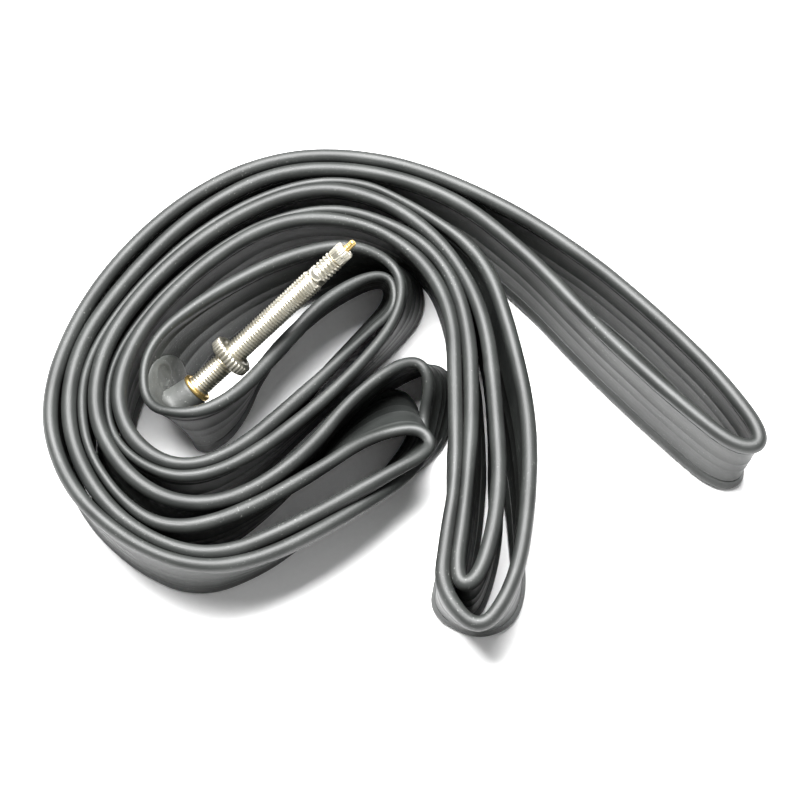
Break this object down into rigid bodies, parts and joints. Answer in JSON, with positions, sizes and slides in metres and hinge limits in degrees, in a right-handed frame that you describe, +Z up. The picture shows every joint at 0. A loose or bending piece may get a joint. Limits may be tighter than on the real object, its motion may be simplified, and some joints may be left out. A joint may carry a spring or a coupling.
{
  "type": "inner tube",
  "caption": "Bicycle inner tube let down flat and coiled on its edge, with a long threaded valve, its lock ring and a removable core with pin and nut.",
  "frame": {"origin": "on the ground under the middle of the coil's bounding box", "axes": "+Z up, +X along the coil's longest extent towards the tip of its long loop, +Y away from the side that the short loop points to"},
  "size_m": [0.1762, 0.1307, 0.0445],
  "materials": {
    "tube_rubber": "satin",
    "seal_rubber": "matte",
    "brass": "satin",
    "nickel": "polished"
  },
  "bodies": {
    "tube": {"inner_tube": "tube_rubber", "valve_patch": "tube_rubber", "valve_base": "tube_rubber", "base_collar": "brass", "valve_stem": "nickel"},
    "ring": {"lock_ring": "nickel"},
    "core": {"core_body": "nickel", "core_gasket": "seal_rubber"},
    "pin": {"core_pin": "brass", "pin_seal": "seal_rubber", "seal_cup": "brass"},
    "nut": {"pin_nut": "nickel"}
  },
  "joints": [
    {"name": "ring_travel", "type": "slide", "parent": "tube", "child": "ring", "axis": [0.7237, 0.4593, 0.515], "range_m": [-0.0093, 0.026]},
    {"name": "core_travel", "type": "slide", "parent": "tube", "child": "core", "axis": [0.7237, 0.4593, 0.515], "range_m": [0, 0.016]},
    {"name": "pin_press", "type": "slide", "parent": "core", "child": "pin", "axis": [0.7237, 0.4593, 0.515], "range_m": [-0.0015, 0]},
    {"name": "nut_travel", "type": "slide", "parent": "pin", "child": "nut", "axis": [0.7237, 0.4593, 0.515], "range_m": [0, 0.0018]}
  ],
  "couplings": [
    {"joint": "nut_travel", "follows": "pin_press", "ratio": -1.2}
  ]
}
